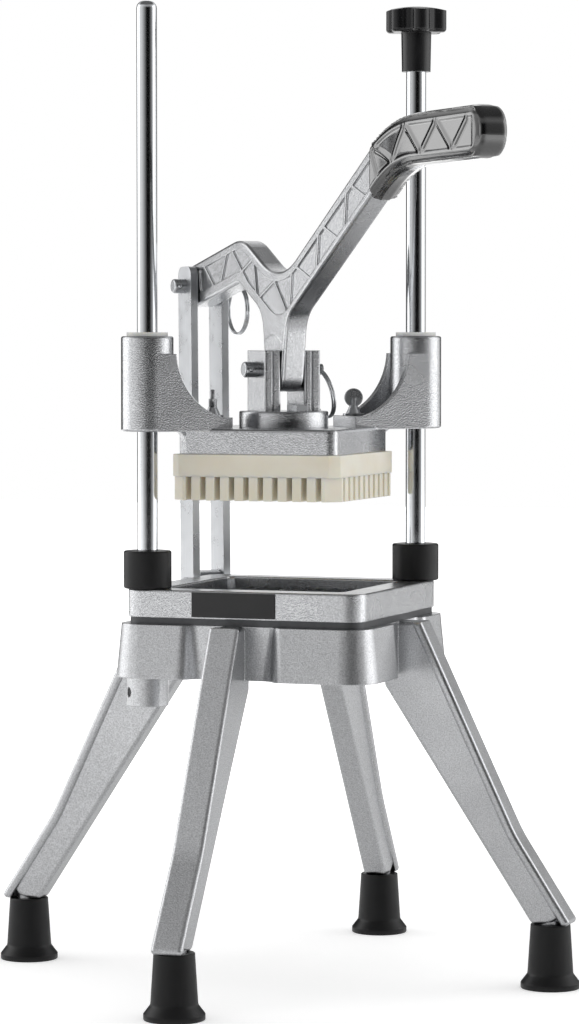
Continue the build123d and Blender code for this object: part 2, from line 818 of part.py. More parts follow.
def ribs_along(start, end, first, spacing, count, first_lean):
    """Ribs of a truss that lean one way and the other, along the line from start to end."""
    run = Vector(*end) - Vector(*start)
    turn = Vector(1, 0).get_signed_angle(run, Vector(0, 0, 1))
    faces = Sketch()
    for rib in range(count):
        lean = first_lean * (-1) ** rib
        bar = Rot(0, 0, lean) * Rectangle(rib_width, 2 * arm_depth)
        faces += Pos(*start) * Rot(0, 0, turn) * Pos(first + rib * spacing, 0) * bar
    return faces


def panel_face(top_rim, low_rim):
    """Band inside the lever's rims, from the link to the tip."""
    up = arm_depth / 2 - top_rim
    down = arm_depth / 2 - low_rim
    top = lever_lines(up)
    under = lever_lines(-down)
    margin = beyond(link_joint, knee, -panel_link_margin)
    start = [shifted(margin, knee, -up)[0], shifted(margin, knee, down)[0]]
    return rounded(
        (*start[0], panel_corner),
        (*crossing(top[0], top[1]), knee_round - top_rim),
        (*crossing(top[1], top[2]), valley_round + top_rim),
        (*crossing(top[2], top[3]), bend_round + up),
        (*top[3][1], panel_corner),
        (*under[3][1], panel_corner),
        (*crossing(under[2], under[3]), bend_round - down),
        (*crossing(under[1], under[2]), panel_valley_round),
        (*crossing(under[0], under[1]), notch_round + low_rim),
        (*start[1], panel_corner),
    )


def lever_pockets():
    """Pockets of the lever's truss, which stop just inside the grip."""
    face = panel_face(panel_top_rim, panel_low_rim)
    lean = Vector(0, arm_depth - panel_top_rim - panel_low_rim).get_angle(
        Vector(2 * rib_lean, arm_depth - panel_top_rim - panel_low_rim)
    )
    face -= ribs_along(valley, bend, long_rib_first, long_rib_spacing, long_rib_count, lean)
    face -= ribs_along(valley, knee, middle_rib_first, middle_rib_spacing, middle_rib_count, lean)
    face -= ribs_along(knee, link_joint, short_rib_first, short_rib_spacing, short_rib_count, -lean)
    valley_rib = Rot(0, 0, -valley_rib_turn) * Rectangle(rib_width, arm_depth)
    face -= Pos(valley[0], valley[1] + valley_rib_rise) * valley_rib
    hidden = Pos(grip_start - grip_wall, pivot_height) * Rectangle(
        2 * abs(tip[0]), 2 * pivot_height, align=(Align.MAX, Align.CENTER)
    )
    return face - hidden


def lever():
    """Cast lever with trussed panels, a pivot boss and a bore for each of its two pins."""
    body = lever_core()
    pockets = lever_pockets()
    for side in (-1, 1):
        middle = side * lever_thick / 2
        body -= swing_plate(pockets, 2 * panel_depth, middle)
    body += pivot_boss()
    half = lever_thick
    body -= crosswise(clevis_pin_diameter + 2 * running_gap, -half, half, 0, pivot_height)
    body -= crosswise(link_pin_diameter + 2 * running_gap, -half, half, *link_joint)
    return turned(body)


def grip_outline():
    """Outline of the grip before its mouth is cut: an even band round the lever's far end."""
    half = arm_depth / 2 + grip_wall
    top = lever_lines(half)
    under = lever_lines(-half)
    past_tip = beyond(tip, bend, grip_wall)
    tip_end = shifted(bend, past_tip, -half)[1], shifted(bend, past_tip, half)[1]
    return rounded(
        (*top[2][0], 0),
        (*crossing(top[2], top[3]), bend_round + half),
        (*tip_end[0], 0.97 * half),
        (*tip_end[1], 0.97 * half),
        (*crossing(under[2], under[3]), bend_round - half),
        (*under[2][0], 0),
    )


def grip():
    """Soft sleeve on the lever, with its mouth cut upright."""
    reach = (2 * abs(tip[0]), 4 * pivot_height)
    mouth = Pos(grip_start, 0) * Rectangle(*reach, align=(Align.MIN, Align.CENTER))
    body = swing_plate(grip_outline() - mouth, lever_thick + 2 * grip_side_wall)
    lengthwise = body.edges().filter_by(Axis.X, reverse=True)
    rims = [edge for edge in lengthwise if edge.center().Y < grip_start - running_gap]
    return turned(fillet(rims, grip_edge) - lever_core())


def link_bar(side):
    """Flat bar of the link, on one side of the lever."""
    half = bar_width / 2
    top = beyond(link_joint, lug_joint, bar_end)
    foot = beyond(lug_joint, link_joint, half)
    back = shifted(foot, top, -half)
    front = shifted(foot, top, half)
    face = rounded(
        (*back[0], 0.97 * half),
        (*back[1], bar_corner),
        (*front[1], bar_corner),
        (*front[0], 0.97 * half),
    )
    bar = swing_plate(face, bar_thick, side * (bar_inner + bar_thick / 2))
    ends = sorted((side * (bar_inner - bar_thick), side * (bar_outer + bar_thick)))
    bar -= crosswise(link_pin_diameter + 2 * seat_gap, *ends, *link_joint)
    bar -= crosswise(lug_pin_diameter + 2 * seat_gap, *ends, *lug_joint)
    return turned(bar)


def lug_pin():
    """Lower pivot pin of the link."""
    end = bar_outer + lug_pin_overhang
    return turned(crosswise(lug_pin_diameter, -end, end, *lug_joint))


def lug_clips():
    """Retaining rings on the lower pivot pin."""
    clips = []
    for side in (-1, 1):
        ends = sorted((side * bar_outer, side * (bar_outer + clip_thick)))
        ring = crosswise(clip_diameter, *ends, *lug_joint)
        clips.append(turned(ring - crosswise(lug_pin_diameter + 2 * seat_gap, *ends, *lug_joint)))
    return Compound(clips)


def all_parts():
    """Every piece, by name."""
    left_place, right_place = rod_places()
    pivot = (0, pivot_height)
    clevis_sizes = (clevis_pin_start, clevis_pin_shoulder, clevis_pin_end)
    link_sizes = (link_pin_start, link_pin_shoulder, link_pin_end)
    parts = {
        "base_casting": base_casting(),
        "rod_set_screws": rod_set_screws(),
        "guide_rod_left": guide_rod(*left_place, left_rod_top),
        "guide_rod_right": guide_rod(*right_place, right_rod_top),
        "bumper_left": bumper(*left_place),
        "bumper_right": bumper(*right_place),
        "star_knob": knob(),
        "blade_plate": blade_plate(),
        "blades_lower": blades(plate_top, 0),
        "blades_upper": blades(plate_top + blade_depth, 90),
        "upper_frame": upper_frame(),
        "frame_screws": frame_screws(),
        "bare_badge": badge(),
        "head_casting": head_casting(),
        "push_block": push_block(),
        "thumb_screw_left": thumb_screw(-1, thumb_left_turn),
        "thumb_screw_right": thumb_screw(1, thumb_right_turn),
        "screw_washers": screw_washers(),
        "clevis": clevis(),
        "clevis_bolts": clevis_bolts(),
        "clevis_pin": turned(ring_pin(clevis_pin_diameter, *clevis_sizes, *pivot)),
        "clevis_pin_ball": turned(pin_ball(clevis_pin_diameter, clevis_pin_start, *pivot)),
        "clevis_ring": pull_ring(clevis_pin_end, *pivot, clevis_ring_lean),
        "lever": lever(),
        "grip": grip(),
        "link_bar_left": link_bar(-1),
        "link_bar_right": link_bar(1),
        "link_pin": turned(ring_pin(link_pin_diameter, *link_sizes, *link_joint)),
        "link_pin_ball": turned(pin_ball(link_pin_diameter, link_pin_start, *link_joint)),
        "link_ring": pull_ring(link_pin_end, *link_joint),
        "lug_pin": lug_pin(),
        "lug_clips": lug_clips(),
    }
    for name, piece in on_sides(foot).items():
        parts[f"foot_{name}"] = piece
    for name, side in (("left", -1), ("right", 1)):
        parts[f"bush_{name}_upper"] = bush_upper(side)
        parts[f"bush_{name}_lower"] = bush_lower(side)
    return parts


os.makedirs("parts", exist_ok=True)
for node, shape in all_parts().items():
    export_step(shape, f"parts/{node}.step")
    print(node, "solids", len(shape.solids()), "volume", round(shape.volume))
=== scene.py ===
# %% [markdown]
# # A lever-press vegetable cutter
# The machine is mostly castings: a square base on splayed legs, a head that slides down two polished
# rods, and a cranked lever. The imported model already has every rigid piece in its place, so this
# lesson adds the camera, the finishes, and the two pieces whose looks need a finer mesh.

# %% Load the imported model
import json
import math

import bmesh
import bpy
import numpy as np
from mathutils import Matrix, Vector


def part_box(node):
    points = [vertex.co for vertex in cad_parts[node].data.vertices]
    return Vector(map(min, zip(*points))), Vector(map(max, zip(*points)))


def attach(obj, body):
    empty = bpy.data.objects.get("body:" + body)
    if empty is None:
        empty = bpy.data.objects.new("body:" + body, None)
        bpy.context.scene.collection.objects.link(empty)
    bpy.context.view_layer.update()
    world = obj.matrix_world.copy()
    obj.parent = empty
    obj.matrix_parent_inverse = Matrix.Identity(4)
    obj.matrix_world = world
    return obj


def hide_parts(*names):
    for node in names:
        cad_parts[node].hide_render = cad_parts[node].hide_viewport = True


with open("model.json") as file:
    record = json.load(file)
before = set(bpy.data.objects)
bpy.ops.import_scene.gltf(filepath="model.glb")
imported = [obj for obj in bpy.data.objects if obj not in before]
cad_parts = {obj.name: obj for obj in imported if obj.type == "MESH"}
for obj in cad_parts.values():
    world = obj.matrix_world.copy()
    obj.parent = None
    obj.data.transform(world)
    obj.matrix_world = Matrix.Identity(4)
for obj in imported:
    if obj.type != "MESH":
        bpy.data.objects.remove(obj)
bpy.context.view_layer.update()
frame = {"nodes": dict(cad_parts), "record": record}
nodes = frame["nodes"]

# %% [markdown]
# ## Camera
# The picture was taken with a long lens from a little above the push block. A long lens keeps the
# rods almost parallel. The camera stands about 2.35 m away, turned 20 degrees from the front.

# %% Camera
camera_turn = 20.0
camera_dip = 2.78
camera_data = bpy.data.cameras.new("photo_camera")
camera_data.lens = 130.8
camera_data.sensor_width = 36.0
camera = bpy.data.objects.new("photo_camera", camera_data)
camera.location = (0.8066, -2.2055, 0.4070)
camera.rotation_euler = (math.radians(90 - camera_dip), 0.0, math.radians(camera_turn))
bpy.context.scene.collection.objects.link(camera)
bpy.context.scene.camera = camera
bpy.context.scene.view_settings.view_transform = "Standard"
print("camera", [round(v, 3) for v in camera.location], "lens", camera_data.lens)

# %% [markdown]
# ## Helpers for materials
# Every finish is built from nodes. One helper adds a node, sets its values and links its inputs, and
# another turns the hex colours that a designer would write into the linear values Blender needs.
# Patterns are sized in millimetres, because Object coordinates are in metres.


# %% Helpers for materials
def linear(hex_colour):
    """Linear colour from an sRGB hex value."""
    parts = [int(hex_colour[i:i + 2], 16) / 255 for i in (1, 3, 5)]
    return tuple(p / 12.92 if p <= 0.04045 else ((p + 0.055) / 1.055) ** 2.4 for p in parts) + (1.0,)


def plug(node, inputs):
    """Set a node's inputs, or link them where the value is another node's output."""
    for name, value in inputs.items():
        if isinstance(value, bpy.types.NodeSocket):
            node.id_data.links.new(value, node.inputs[name])
        else:
            node.inputs[name].default_value = value


def add(tree, kind, inputs=None, **settings):
    """Add one node, with its settings and its inputs."""
    made = tree.nodes.new(kind)
    for name, value in settings.items():
        setattr(made, name, value)
    plug(made, inputs or {})
    return made


def maths(tree, operation, first, second=0.0, third=0.0):
    """Result of one sum on numbers."""
    return add(tree, "ShaderNodeMath", {0: first, 1: second, 2: third}, operation=operation).outputs[0]


def vectors(tree, operation, first, second=(0, 0, 0)):
    """Result of one sum on two vectors."""
    return add(tree, "ShaderNodeVectorMath", {0: first, 1: second}, operation=operation).outputs[0]


def spread(tree, value, start, end, low=0.0, high=1.0):
    """A value mapped from one range to another."""
    ends = {"Value": value, "From Min": start, "From Max": end, "To Min": low, "To Max": high}
    return add(tree, "ShaderNodeMapRange", ends).outputs[0]


def per_mm(size):
    """Texture scale for features of this size in millimetres."""
    return 1000.0 / size


def new_finish(name):
    """Empty material with its shader and Object coordinates."""
    material = bpy.data.materials.new(name)
    material.use_nodes = True
    tree = material.node_tree
    tree.nodes.clear()
    shader = add(tree, "ShaderNodeBsdfPrincipled")
    add(tree, "ShaderNodeOutputMaterial", {"Surface": shader.outputs[0]})
    place = add(tree, "ShaderNodeTexCoord").outputs["Object"]
    return material, tree, shader, place


finishes = {}
print("middle grey in linear light", round(linear("#808080")[0], 3))

# %% [markdown]
# ## Patterns
# Four helpers do most of the work in every finish: soft noise, a blend of two colours, a bump, and a mask
# of the edges. The mask comes from comparing the true normal with one that is rounded over the edges.


# %% Patterns
def mottle(tree, place, size_mm, detail, low=0.0, high=1.0):
    """Soft noise of this feature size, spread between two values."""
    noise_low, noise_high = 0.3, 0.7
    noise = add(tree, "ShaderNodeTexNoise", {"Vector": place, "Scale": per_mm(size_mm), "Detail": detail})
    return spread(tree, noise.outputs[0], noise_low, noise_high, low, high)


def blend(tree, factor, first, second):
    """Colour that runs from one colour to another."""
    return add(tree, "ShaderNodeMix", {"Factor": factor, 6: first, 7: second}, data_type="RGBA").outputs[2]


def raised(tree, height, depth_mm, normal):
    """Bump of this depth on top of another normal."""
    inputs = {"Height": height, "Distance": depth_mm / 1000.0, "Strength": 1.0, "Normal": normal}
    return add(tree, "ShaderNodeBump", inputs).outputs[0]


def edge_mask(tree, radius_mm):
    """Normal that rounds sharp edges, and a mask of where they are."""
    flat_cosine, edge_cosine = 1.0, 0.85
    soft = add(tree, "ShaderNodeBevel", {"Radius": radius_mm / 1000.0}, samples=6).outputs[0]
    true = add(tree, "ShaderNodeNewGeometry").outputs["Normal"]
    turn = add(tree, "ShaderNodeVectorMath", {0: soft, 1: true}, operation="DOT_PRODUCT").outputs["Value"]
    return soft, spread(tree, turn, flat_cosine, edge_cosine)


print("patterns", [pattern.__name__ for pattern in (mottle, blend, raised, edge_mask)])

# %% [markdown]
# ## Cast aluminium
# The base, frame, head, clevis and lever are aluminium castings that were tumbled and left bare. The
# skin has a sandy grain that glitters, very slow waves from the mould, and brighter edges where the
# tumbling rubbed them. The base with its legs was only shot-blasted, so it is duller. The grain on the
# real part is about half a millimetre. It is drawn slightly coarser so that it still shows in a picture
# of the whole machine.


# %% Cast aluminium
def cast(slot, name, dark, light, smooth, rough, grain_depth_mm):
    """Bare cast aluminium whose roughness wanders between two values."""
    grain_mm, wave_mm, wave_depth_mm = 0.8, 30.0, 0.10
    edge_mm, edge_colour, edge_roughness = 0.9, "#dcdddf", 0.22
    material, tree, shader, place = new_finish(name)
    edge_normal, edges = edge_mask(tree, edge_mm)
    grain = mottle(tree, place, grain_mm, 2.0)
    waves = mottle(tree, place, wave_mm, 1.0)
    skin = blend(tree, grain, linear(dark), linear(light))
    satin = spread(tree, waves, 0.0, 1.0, smooth, rough)
    wavy = raised(tree, waves, wave_depth_mm, edge_normal)
    looks = {
        "Base Color": blend(tree, edges, skin, linear(edge_colour)),
        "Roughness": add(tree, "ShaderNodeMix", {"Factor": edges, 2: satin, 3: edge_roughness}).outputs[0],
        "Normal": raised(tree, grain, grain_depth_mm, wavy),
        "Metallic": 1.0,
    }
    plug(shader, looks)
    finishes[slot] = material


cast("cast_aluminium", "tumbled_cast_aluminium", "#a4a5a7", "#cdced0", 0.22, 0.28, 0.045)
cast("blasted_aluminium", "blasted_cast_aluminium", "#acadaf", "#d6d7d9", 0.28, 0.36, 0.06)
print("castings", sorted(finishes))

# %% [markdown]
# ## Polished and plated steel
# The guide rods are centreless-ground and polished, so they mirror the room with very fine rings round
# them. The link bars are cold-drawn and plated, with streaks along their length. Pins and screws are
# turned, a little darker. Rings of a turning tool are far finer than a pixel, so they are drawn at
# about a third of a millimetre.


# %% Steel finishes
def steel(slot, name, dark, light, roughness, streak_mm, depth_mm, edge_mm):
    """Bare steel with streaks of a given size along each axis."""
    smudge_mm, smoothest, roughest = 9.0, 0.85 * roughness, 1.25 * roughness
    material, tree, shader, place = new_finish(name)
    edge_normal, _ = edge_mask(tree, edge_mm)
    scales = [per_mm(size) for size in streak_mm]
    stretch = add(tree, "ShaderNodeMapping", {"Vector": place, "Scale": scales}).outputs[0]
    ends = {"Vector": stretch, "Scale": 1.0, "Detail": 4.0}
    streaks = add(tree, "ShaderNodeTexNoise", ends).outputs[0]
    looks = {
        "Base Color": blend(tree, streaks, linear(dark), linear(light)),
        "Roughness": mottle(tree, place, smudge_mm, 2.0, smoothest, roughest),
        "Normal": raised(tree, streaks, depth_mm, edge_normal),
        "Metallic": 1.0,
    }
    plug(shader, looks)
    finishes[slot] = material


steel("polished_steel", "polished_rod_steel", "#c4c6c9", "#d6d8da", 0.10, (60, 60, 0.35), 0.002, 0.4)
steel("plated_steel", "zinc_plated_bar", "#c2c4c7", "#d6d8da", 0.30, (0.8, 0.8, 40), 0.01, 0.6)
steel("pin_steel", "turned_pin_steel", "#98999c", "#bfc1c3", 0.27, (0.5, 0.5, 0.5), 0.006, 0.4)
steel("ring_steel", "bright_spring_wire", "#a9abae", "#cfd1d3", 0.16, (3, 3, 3), 0.004, 0.3)
steel("blade_steel", "ground_blade_steel", "#a3a5a8", "#c9cbcd", 0.22, (0.4, 0.4, 8), 0.004, 0.2)
print("steel finishes", [n for n in finishes if n.endswith("steel")])

# %% [markdown]
# ## Rubber, plastic and vinyl
# The feet and bumpers are moulded rubber with a dull, pebbled skin. The knob is black phenolic plastic,
# smoother and a little shiny. The grip is dipped vinyl, almost a gloss paint with a faint orange peel.
# The block is cream polyethylene and the bushes are white nylon: both let a little light into the
# surface.


# %% Rubber, plastic and vinyl
def moulded(slot, name, dark, light, roughness, grain_mm, depth_mm, edge_mm, gloss=0.5, glow=0.0, coat=0.0):
    """Moulded material with a grained skin, slightly paler on its edges."""
    cloud_mm, smoothest, roughest = 22.0, 0.85 * roughness, 1.2 * roughness
    material, tree, shader, place = new_finish(name)
    edge_normal, edges = edge_mask(tree, edge_mm)
    pebbles = mottle(tree, place, grain_mm, 2.0)
    clouds = mottle(tree, place, cloud_mm, 3.0)
    paler = maths(tree, "MAXIMUM", clouds, edges)
    looks = {
        "Base Color": blend(tree, paler, linear(dark), linear(light)),
        "Roughness": spread(tree, clouds, 0.0, 1.0, smoothest, roughest),
        "Normal": raised(tree, pebbles, depth_mm, edge_normal),
        "Specular IOR Level": gloss,
        "Coat Weight": coat,
        "Coat Roughness": 0.06,
        "Coat IOR": 1.75,
        "Subsurface Weight": glow,
        "Subsurface Radius": (1.0, 0.8, 0.5),
        "Subsurface Scale": 0.004,
    }
    plug(shader, looks)
    finishes[slot] = material


moulded("black_rubber", "moulded_black_rubber", "#121213", "#1a1a1b", 0.40, 0.9, 0.015, 0.6, gloss=0.3)
moulded("black_plastic", "black_phenolic_plastic", "#0f0f10", "#18181a", 0.28, 1.2, 0.008, 0.6, gloss=0.4)
moulded("black_vinyl", "dipped_black_vinyl", "#0b0b0c", "#121213", 0.14, 6.0, 0.01, 0.5, coat=1.0)
moulded("cream_plastic", "cream_polyethylene", "#e9e2d0", "#f0ebdd", 0.40, 1.5, 0.008, 0.5, glow=0.6)
moulded("white_nylon", "white_nylon", "#dcdcd8", "#ececea", 0.40, 1.2, 0.008, 0.4, glow=0.2)
moulded("bare_black", "matt_black_plate", "#1b1b1c", "#222223", 0.48, 0.7, 0.006, 0.3)
print("moulded finishes", len(finishes))

# %% [markdown]
# ## Blackened steel
# The blade plate and the hidden screws have a dark oxide skin, thin enough that metal shows through on
# their edges.


# %% Blackened steel
def blackened(slot, name, dark, light, bare):
    """Oxide-black steel, rubbed to bare metal on its edges."""
    patch_mm, patch_depth_mm, edge_mm = 7.0, 0.02, 0.5
    smoothest, roughest = 0.40, 0.55
    material, tree, shader, place = new_finish(name)
    edge_normal, edges = edge_mask(tree, edge_mm)
    patches = mottle(tree, place, patch_mm, 4.0)
    skin = blend(tree, patches, linear(dark), linear(light))
    looks = {
        "Base Color": blend(tree, edges, skin, linear(bare)),
        "Roughness": spread(tree, patches, 0.0, 1.0, smoothest, roughest),
        "Normal": raised(tree, patches, patch_depth_mm, edge_normal),
        "Metallic": 0.7,
    }
    plug(shader, looks)
    finishes[slot] = material


blackened("dark_plate", "blackened_blade_plate", "#4b4c4e", "#5b5c5e", "#77787a")
blackened("black_screw", "black_oxide_screw", "#232325", "#303032", "#5c5d5f")
print("finishes", sorted(finishes))

# %% [markdown]
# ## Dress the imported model
# The record names a material slot for each node, and each node takes the finish of that slot. Only the
# base differs: it is the duller casting.

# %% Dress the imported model
slots = {part["node"]: part["material_slot"] for part in frame["record"]["subparts"]}
for name, node in nodes.items():
    node.data.materials.clear()
    node.data.materials.append(finishes["blasted_aluminium" if name == "base_casting" else slots[name]])
print("dressed", len(slots), "nodes")

# %% [markdown]
# ## Push block
# Square fingers under a plate push the vegetable between the blades. They are one finger repeated over
# a grid, so Geometry Nodes makes them: a change of one size then moves every finger. The sums in a tree
# are nodes too, so small helpers come first. The bar, square with flat-cut corners, is used twice.


# %% Helpers for the push block
def halved(tree, value):
    """Half of a number."""
    return maths(tree, "MULTIPLY", value, 0.5)


def scaled(tree, vector, factor):
    """A vector made longer or shorter."""
    return add(tree, "ShaderNodeVectorMath", {0: vector, "Scale": factor}, operation="SCALE").outputs[0]


def xyz(tree, x=0.0, y=0.0, z=0.0):
    """A vector from three numbers."""
    return add(tree, "ShaderNodeCombineXYZ", {0: x, 1: y, 2: z}).outputs[0]


def placed(tree, part, place):
    """A mesh moved to a place."""
    return add(tree, "GeometryNodeTransform", {"Geometry": part, "Translation": place}).outputs[0]


def join(tree, *parts):
    """Several meshes in one."""
    both = add(tree, "GeometryNodeJoinGeometry")
    for part in parts:
        tree.links.new(part, both.inputs[0])
    return both.outputs[0]


def square_bar(tree, half, corner, height):
    """Closed upright bar on z = 0, square with flat-cut corners."""
    wide = maths(tree, "MULTIPLY", half, 2.0)
    ends = {"Width": wide, "Height": wide}
    outline = add(tree, "GeometryNodeCurvePrimitiveQuadrilateral", ends).outputs[0]
    ends = {"Curve": outline, "Count": 1, "Radius": corner}
    cut = add(tree, "GeometryNodeFilletCurve", ends, mode="POLY").outputs[0]
    face = add(tree, "GeometryNodeFillCurve", {"Curve": cut}, mode="NGONS").outputs[0]
    ends = {"Mesh": face, "Offset Scale": height, "Individual": False}
    upper = add(tree, "GeometryNodeExtrudeMesh", ends).outputs[0]
    under = add(tree, "GeometryNodeFlipFaces", {"Mesh": face}).outputs[0]
    ends = {"Geometry": join(tree, upper, under), "Distance": 1e-6}
    return add(tree, "GeometryNodeMergeByDistance", ends).outputs[0]


print("block helpers", [helper.__name__ for helper in (halved, scaled, xyz, placed, join, square_bar)])

# %% [markdown]
# ## Fingers of the push block
# The fingers could be an array, but the outer rows are wider, because they end at the block's edge. A
# grid of points allows for that: each point says how much its finger is widened. A bar a little larger
# than the block then trims the four corner fingers.


# %% Fingers of the push block
def finger_places(tree, size):
    """Grid points for the fingers, a finger's width, and how much each is widened on each axis."""
    pitch, half = size["Pitch"], size["Half Width"]
    span = maths(tree, "MULTIPLY", pitch, maths(tree, "SUBTRACT", size["Rows"], 1.0))
    half_pitch, half_span = halved(tree, pitch), halved(tree, span)
    last_slot = maths(tree, "SUBTRACT", half_span, half_pitch)
    past_slot = maths(tree, "SUBTRACT", half, last_slot)
    outer = maths(tree, "SUBTRACT", past_slot, halved(tree, size["Slot Width"]))
    ends = {"Size X": span, "Size Y": span, "Vertices X": size["Rows"], "Vertices Y": size["Rows"]}
    grid = add(tree, "GeometryNodeMeshGrid", ends).outputs[0]

    # A mask per axis that is 1 on the outer rows and 0 inside, before and after they are moved.
    place = add(tree, "GeometryNodeInputPosition").outputs[0]
    past = vectors(tree, "SUBTRACT", vectors(tree, "ABSOLUTE", place), xyz(tree, last_slot, last_slot))
    mask = vectors(tree, "DIVIDE", vectors(tree, "MAXIMUM", past), xyz(tree, half_pitch, half_pitch, 1.0))
    mask = vectors(tree, "MINIMUM", mask, (1, 1, 1))

    # The outer points move out until their fingers end at the block's edge.
    shift = maths(tree, "SUBTRACT", maths(tree, "SUBTRACT", half, halved(tree, outer)), half_span)
    outward = vectors(tree, "MULTIPLY", vectors(tree, "SIGN", place), mask)
    ends = {"Geometry": grid, "Offset": scaled(tree, outward, shift)}
    points = add(tree, "GeometryNodeSetPosition", ends).outputs[0]
    finger = maths(tree, "SUBTRACT", pitch, size["Slot Width"])
    growth = maths(tree, "SUBTRACT", maths(tree, "DIVIDE", outer, finger), 1.0)
    return points, finger, vectors(tree, "ADD", scaled(tree, mask, growth), (1, 1, 1))


def fingers(tree, size):
    """All the fingers, trimmed at the block's corners, reaching a little into the plate."""
    into_plate, trim_room, trim_side = 0.0003, 0.0005, 0.0001
    points, finger, scale = finger_places(tree, size)
    tall = maths(tree, "ADD", size["Finger Length"], into_plate)
    cube = add(tree, "GeometryNodeMeshCube", {"Size": xyz(tree, finger, finger, tall)}).outputs[0]
    one = placed(tree, cube, xyz(tree, z=halved(tree, tall)))
    ends = {"Points": points, "Instance": one, "Scale": scale}
    many = add(tree, "GeometryNodeInstanceOnPoints", ends).outputs[0]
    many = add(tree, "GeometryNodeRealizeInstances", {"Geometry": many}).outputs[0]
    trim_half = maths(tree, "ADD", size["Half Width"], trim_side)
    trim_height = maths(tree, "ADD", size["Finger Length"], 2 * trim_room)
    trim = square_bar(tree, trim_half, size["Finger Corner"], trim_height)
    trimmed = add(tree, "GeometryNodeMeshBoolean", operation="INTERSECT")
    for part in (many, placed(tree, trim, (0, 0, -trim_room))):
        tree.links.new(part, trimmed.inputs["Mesh 2"])
    return trimmed.outputs[0]


print("finger functions", finger_places.__name__, fingers.__name__)

# %% [markdown]
# ## Plate of the push block
# The plate has two blind holes for the thumb screws. A cylinder twice as long as a hole is deep stands
# with its middle in the top face and is cut away. Fingers and plate are then joined, and the result is
# taken as a plain mesh, because a reusable part is kept without modifiers.


# %% Plate of the push block
def plate(tree, size):
    """Plate with two blind holes for the thumb screws."""
    length = size["Finger Length"]
    height = maths(tree, "SUBTRACT", size["Height"], length)
    bar = square_bar(tree, size["Half Width"], size["Plate Corner"], height)
    depth = maths(tree, "MULTIPLY", size["Bore Depth"], 2.0)
    ends = {"Vertices": 32, "Radius": halved(tree, size["Screw Bore"]), "Depth": depth}
    drill = add(tree, "GeometryNodeMeshCylinder", ends).outputs[0]
    ends = {"Mesh 1": placed(tree, bar, xyz(tree, z=length))}
    drilled = add(tree, "GeometryNodeMeshBoolean", ends, operation="DIFFERENCE")
    for side in (1.0, -1.0):
        across = maths(tree, "MULTIPLY", size["Screw Spread"], side * math.sqrt(0.5))
        hole = placed(tree, drill, xyz(tree, across, across, size["Height"]))
        tree.links.new(hole, drilled.inputs["Mesh 2"])
    return drilled.outputs[0]


def finger_block_tree(names):
    """Tree for the whole block, with its sizes as inputs."""
    tree = bpy.data.node_groups.new("finger_block", "GeometryNodeTree")
    tree.interface.new_socket("Geometry", in_out="OUTPUT", socket_type="NodeSocketGeometry")
    kinds = {"Rows": "NodeSocketInt", "Material": "NodeSocketMaterial"}
    for name in names:
        kind = kinds.get(name, "NodeSocketFloat")
        tree.interface.new_socket(name, in_out="INPUT", socket_type=kind)
    size = add(tree, "NodeGroupInput").outputs
    whole = join(tree, fingers(tree, size), plate(tree, size))
    whole = add(tree, "GeometryNodeRealizeInstances", {"Geometry": whole}).outputs[0]
    ends = {"Geometry": whole, "Material": size["Material"]}
    painted = add(tree, "GeometryNodeSetMaterial", ends).outputs[0]
    add(tree, "NodeGroupOutput", {0: painted})
    return tree


def plain_mesh(holder, name):
    """The evaluated object as a plain mesh object of its own."""
    bpy.context.view_layer.update()
    evaluated = holder.evaluated_get(bpy.context.evaluated_depsgraph_get())
    mesh = bpy.data.meshes.new_from_object(evaluated)
    mesh.name = name
    made = bpy.data.objects.new(name, mesh)
    bpy.context.scene.collection.objects.link(made)
    bpy.data.objects.remove(holder)
    return made


print("block functions", plate.__name__, finger_block_tree.__name__, plain_mesh.__name__)

# %% [markdown]
# ## Make the push block
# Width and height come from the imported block, so the new one fills the same space. A narrow bevel
# catches the light on every edge, as a moulded block does. The block rides on the head.

# %% Make the push block
block_low, block_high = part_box("push_block")
block_sizes = {
    "Half Width": (block_high[0] - block_low[0]) / 2,
    "Plate Corner": 0.006,
    "Finger Corner": 0.0088,
    "Height": block_high[2] - block_low[2],
    "Finger Length": 0.0147,
    "Pitch": 0.009525,
    "Slot Width": 0.0036,
    "Screw Spread": 0.049,
    "Screw Bore": 0.0052,
    "Bore Depth": 0.0101,
    "Rows": 11,
    "Material": finishes["cream_plastic"],
}
block_tree = finger_block_tree(block_sizes)
holder = bpy.data.objects.new("block_maker", bpy.data.meshes.new("block_maker"))
bpy.context.scene.collection.objects.link(holder)
maker = holder.modifiers.new("finger_block", "NODES")
maker.node_group = block_tree
for item in block_tree.interface.items_tree:
    if item.in_out == "INPUT":
        maker[item.identifier] = block_sizes[item.name]
edge_bevel = 0.0004
softer = holder.modifiers.new("edges", "BEVEL")
softer.width = edge_bevel
softer.segments = 2
softer.limit_method = "ANGLE"
block = plain_mesh(holder, "finger_block")
block.data.transform(Matrix.Translation((0, 0, block_low[2])))
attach(block, "head")
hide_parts("push_block")
print("push block", len(block_tree.nodes), "nodes,", len(block.data.polygons), "faces")

# %% [markdown]
# ## Grip
# The grip is a dipped vinyl sleeve, so the lever's ribs show through it: its flat sides sink a little
# inside a rim, and a zigzag of ridges stands up in them. The lever bends inside the grip, so a point is
# measured along the bent middle line and away from it, in millimetres. Ridges that are laid out along
# that line follow the bend by themselves.


